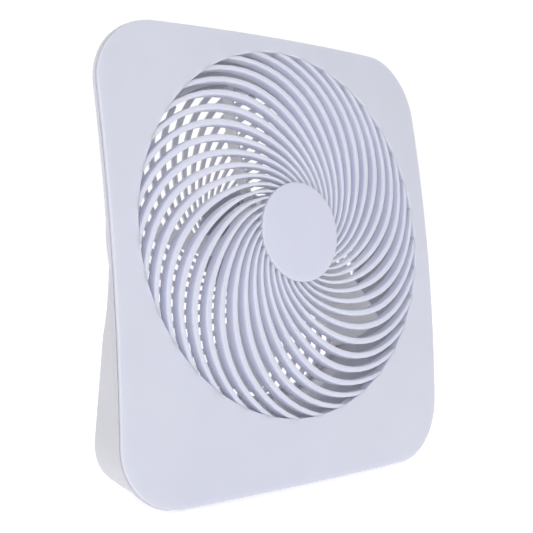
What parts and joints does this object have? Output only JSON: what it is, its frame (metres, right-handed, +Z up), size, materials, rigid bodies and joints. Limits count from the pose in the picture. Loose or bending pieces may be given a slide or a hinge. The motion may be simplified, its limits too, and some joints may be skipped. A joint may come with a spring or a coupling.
{
  "type": "box fan",
  "caption": "Portable battery box fan: leaning square face with a spiral grille and a round centre disc, flared base with a battery door, rear guard and speed knob.",
  "frame": {"origin": "centre of the footprint on the surface the fan stands on, midway between its foremost and rearmost points", "axes": "+X to the right seen from the front, front faces -Y, +Z up"},
  "size_m": [0.293, 0.0855, 0.3135],
  "materials": {
    "cover_plastic": "fine satin texture",
    "housing_plastic": "fine satin texture",
    "blade_plastic": "semi gloss",
    "knob_plastic": "fine satin texture",
    "dark_plastic": "matt",
    "steel": "zinc plated",
    "core_steel": "laminated",
    "brass": "plain",
    "copper": "enamelled copper wire",
    "magnet": "sintered ferrite",
    "ceramic": "white ceramic",
    "cell_wrap": "printed film without marks",
    "foot_rubber": "matt"
  },
  "bodies": {
    "root": {"rear_housing": "housing_plastic", "front_cover": "cover_plastic", "rear_guard": "housing_plastic", "motor_cap": "housing_plastic", "motor_can": "steel", "motor_end_cap": "dark_plastic", "front_bush": "brass", "rear_bush": "brass", "motor_magnets": "magnet", "battery_cell_1": "cell_wrap", "battery_cell_2": "cell_wrap", "battery_cell_3": "cell_wrap", "battery_cell_4": "cell_wrap", "battery_cell_5": "cell_wrap", "battery_cell_6": "cell_wrap", "battery_tray": "dark_plastic", "contact_springs": "steel", "contact_plates": "steel", "switch_body": "dark_plastic", "speed_resistor": "ceramic", "dc_inlet": "dark_plastic", "inlet_pin": "steel", "inlet_nut": "steel", "feet": "foot_rubber", "cover_screws": "steel", "guard_screws": "steel", "cap_screws": "steel", "motor_screws": "steel"},
    "rotor": {"fan_blade": "blade_plastic", "hub_insert": "brass", "motor_shaft": "steel", "armature_core": "core_steel", "armature_windings": "copper"},
    "knob": {"switch_knob": "knob_plastic", "switch_shaft": "steel"},
    "door": {"battery_door": "housing_plastic"}
  },
  "joints": [
    {"name": "fan_spin", "type": "hinge", "parent": "root", "child": "rotor", "pos_m": [0, 0.00271, 0.17141], "axis": [0, -0.992, 0.1262], "continuous": true},
    {"name": "knob_turn", "type": "hinge", "parent": "root", "child": "knob", "pos_m": [0.113, 0.00902, 0.08], "axis": [0, 0.9423, 0.3349], "range_deg": [0, 90]},
    {"name": "battery_door_hinge", "type": "hinge", "parent": "root", "child": "door", "pos_m": [0, 0.0374, 0.0086], "axis": [-1, 0, 0], "range_deg": [0, 95]}
  ]
}
